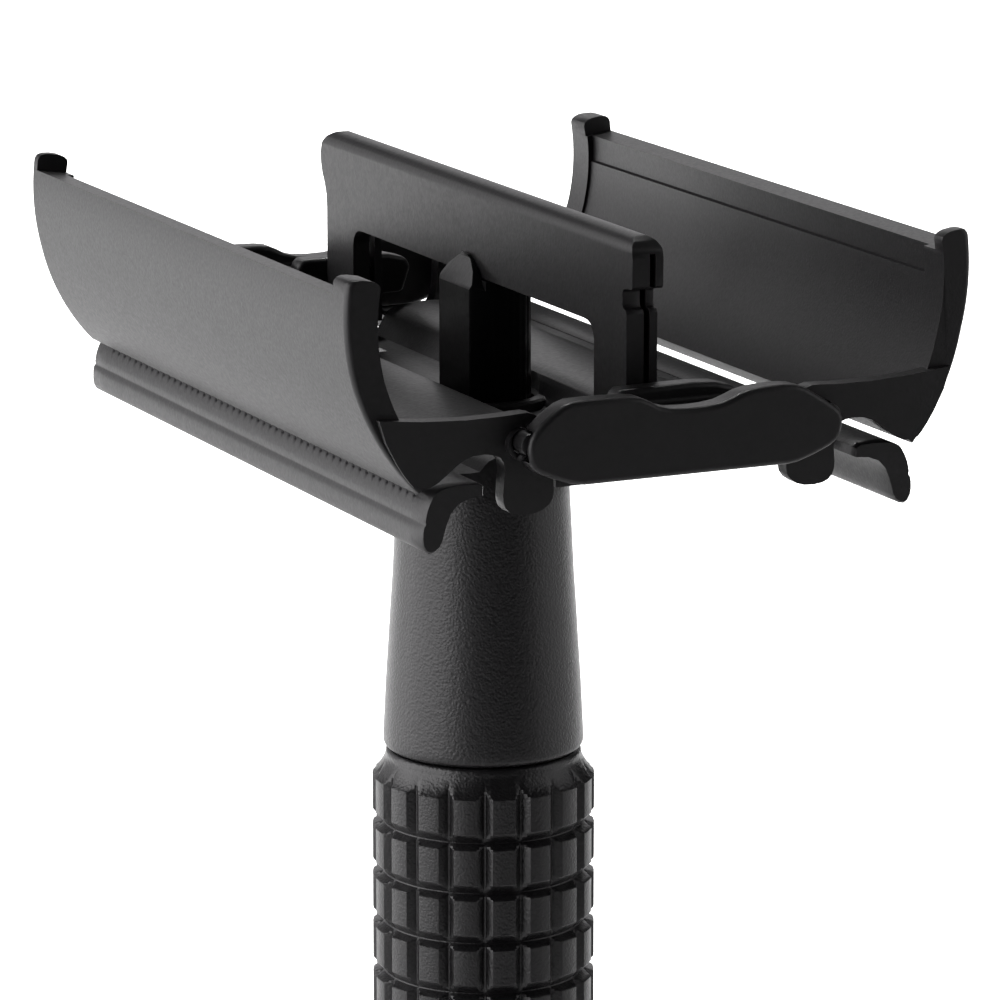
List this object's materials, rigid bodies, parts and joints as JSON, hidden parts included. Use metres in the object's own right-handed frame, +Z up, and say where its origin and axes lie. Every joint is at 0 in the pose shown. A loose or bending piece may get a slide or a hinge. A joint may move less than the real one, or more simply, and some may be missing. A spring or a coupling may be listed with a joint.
{
  "type": "butterfly safety razor",
  "caption": "Twist-to-open double-edge safety razor with winged doors over a toothed guard plate, a lifting spine and a knurled ringed handle.",
  "frame": {"origin": "centre of the flat foot of the knob, at the lowest point", "axes": "+Z up the handle, +X along the blade, Y across the head from door to door"},
  "size_m": [0.0458, 0.0328, 0.1088],
  "materials": {
    "satin_black_coat": "matte black powder coat with a fine pebble texture",
    "black_plate": "smooth semi-matte black coat over formed metal",
    "steel": "plain turned steel, mostly hidden",
    "brass": "plain turned brass, hidden inside the handle"
  },
  "bodies": {
    "handle": {"guard_plate": "satin_black_coat", "neck_collar": "satin_black_coat", "grip_barrel": "satin_black_coat", "upper_guide_bush": "brass", "lower_guide_bush": "brass", "barrel_end_ring": "satin_black_coat"},
    "knob": {"twist_knob": "satin_black_coat", "knob_end_cap": "satin_black_coat", "drive_rod": "steel", "drive_screw": "brass", "thrust_washer": "steel", "snap_ring": "steel"},
    "carriage": {"lift_post": "black_plate", "center_spine": "black_plate", "end_bracket_front": "satin_black_coat", "end_bracket_rear": "satin_black_coat", "hinge_pin_front_left": "steel", "hinge_pin_front_right": "steel", "hinge_pin_rear_left": "steel", "hinge_pin_rear_right": "steel"},
    "door_left": {"door_left": "satin_black_coat"},
    "door_right": {"door_right": "satin_black_coat"}
  },
  "joints": [
    {"name": "knob_twist", "type": "hinge", "parent": "handle", "child": "knob", "pos_m": [0, 0, 0.01], "axis": [0, 0, 1], "range_deg": [0, 720]},
    {"name": "carriage_slide", "type": "slide", "parent": "handle", "child": "carriage", "axis": [0, 0, -1], "range_m": [0, 0.0061]},
    {"name": "door_left_hinge", "type": "hinge", "parent": "carriage", "child": "door_left", "pos_m": [0, -0.00795, 0.1001], "axis": [-1, 0, 0], "range_deg": [0, 87.7]},
    {"name": "door_right_hinge", "type": "hinge", "parent": "carriage", "child": "door_right", "pos_m": [0, 0.00795, 0.1001], "axis": [1, 0, 0], "range_deg": [0, 87.7]}
  ],
  "couplings": [
    {"joint": "knob_twist", "follows": "carriage_slide", "rad_per_m": 2060},
    {"joint": "door_left_hinge", "follows": "carriage_slide", "rad_per_m": 250.9},
    {"joint": "door_right_hinge", "follows": "carriage_slide", "rad_per_m": 250.9}
  ]
}
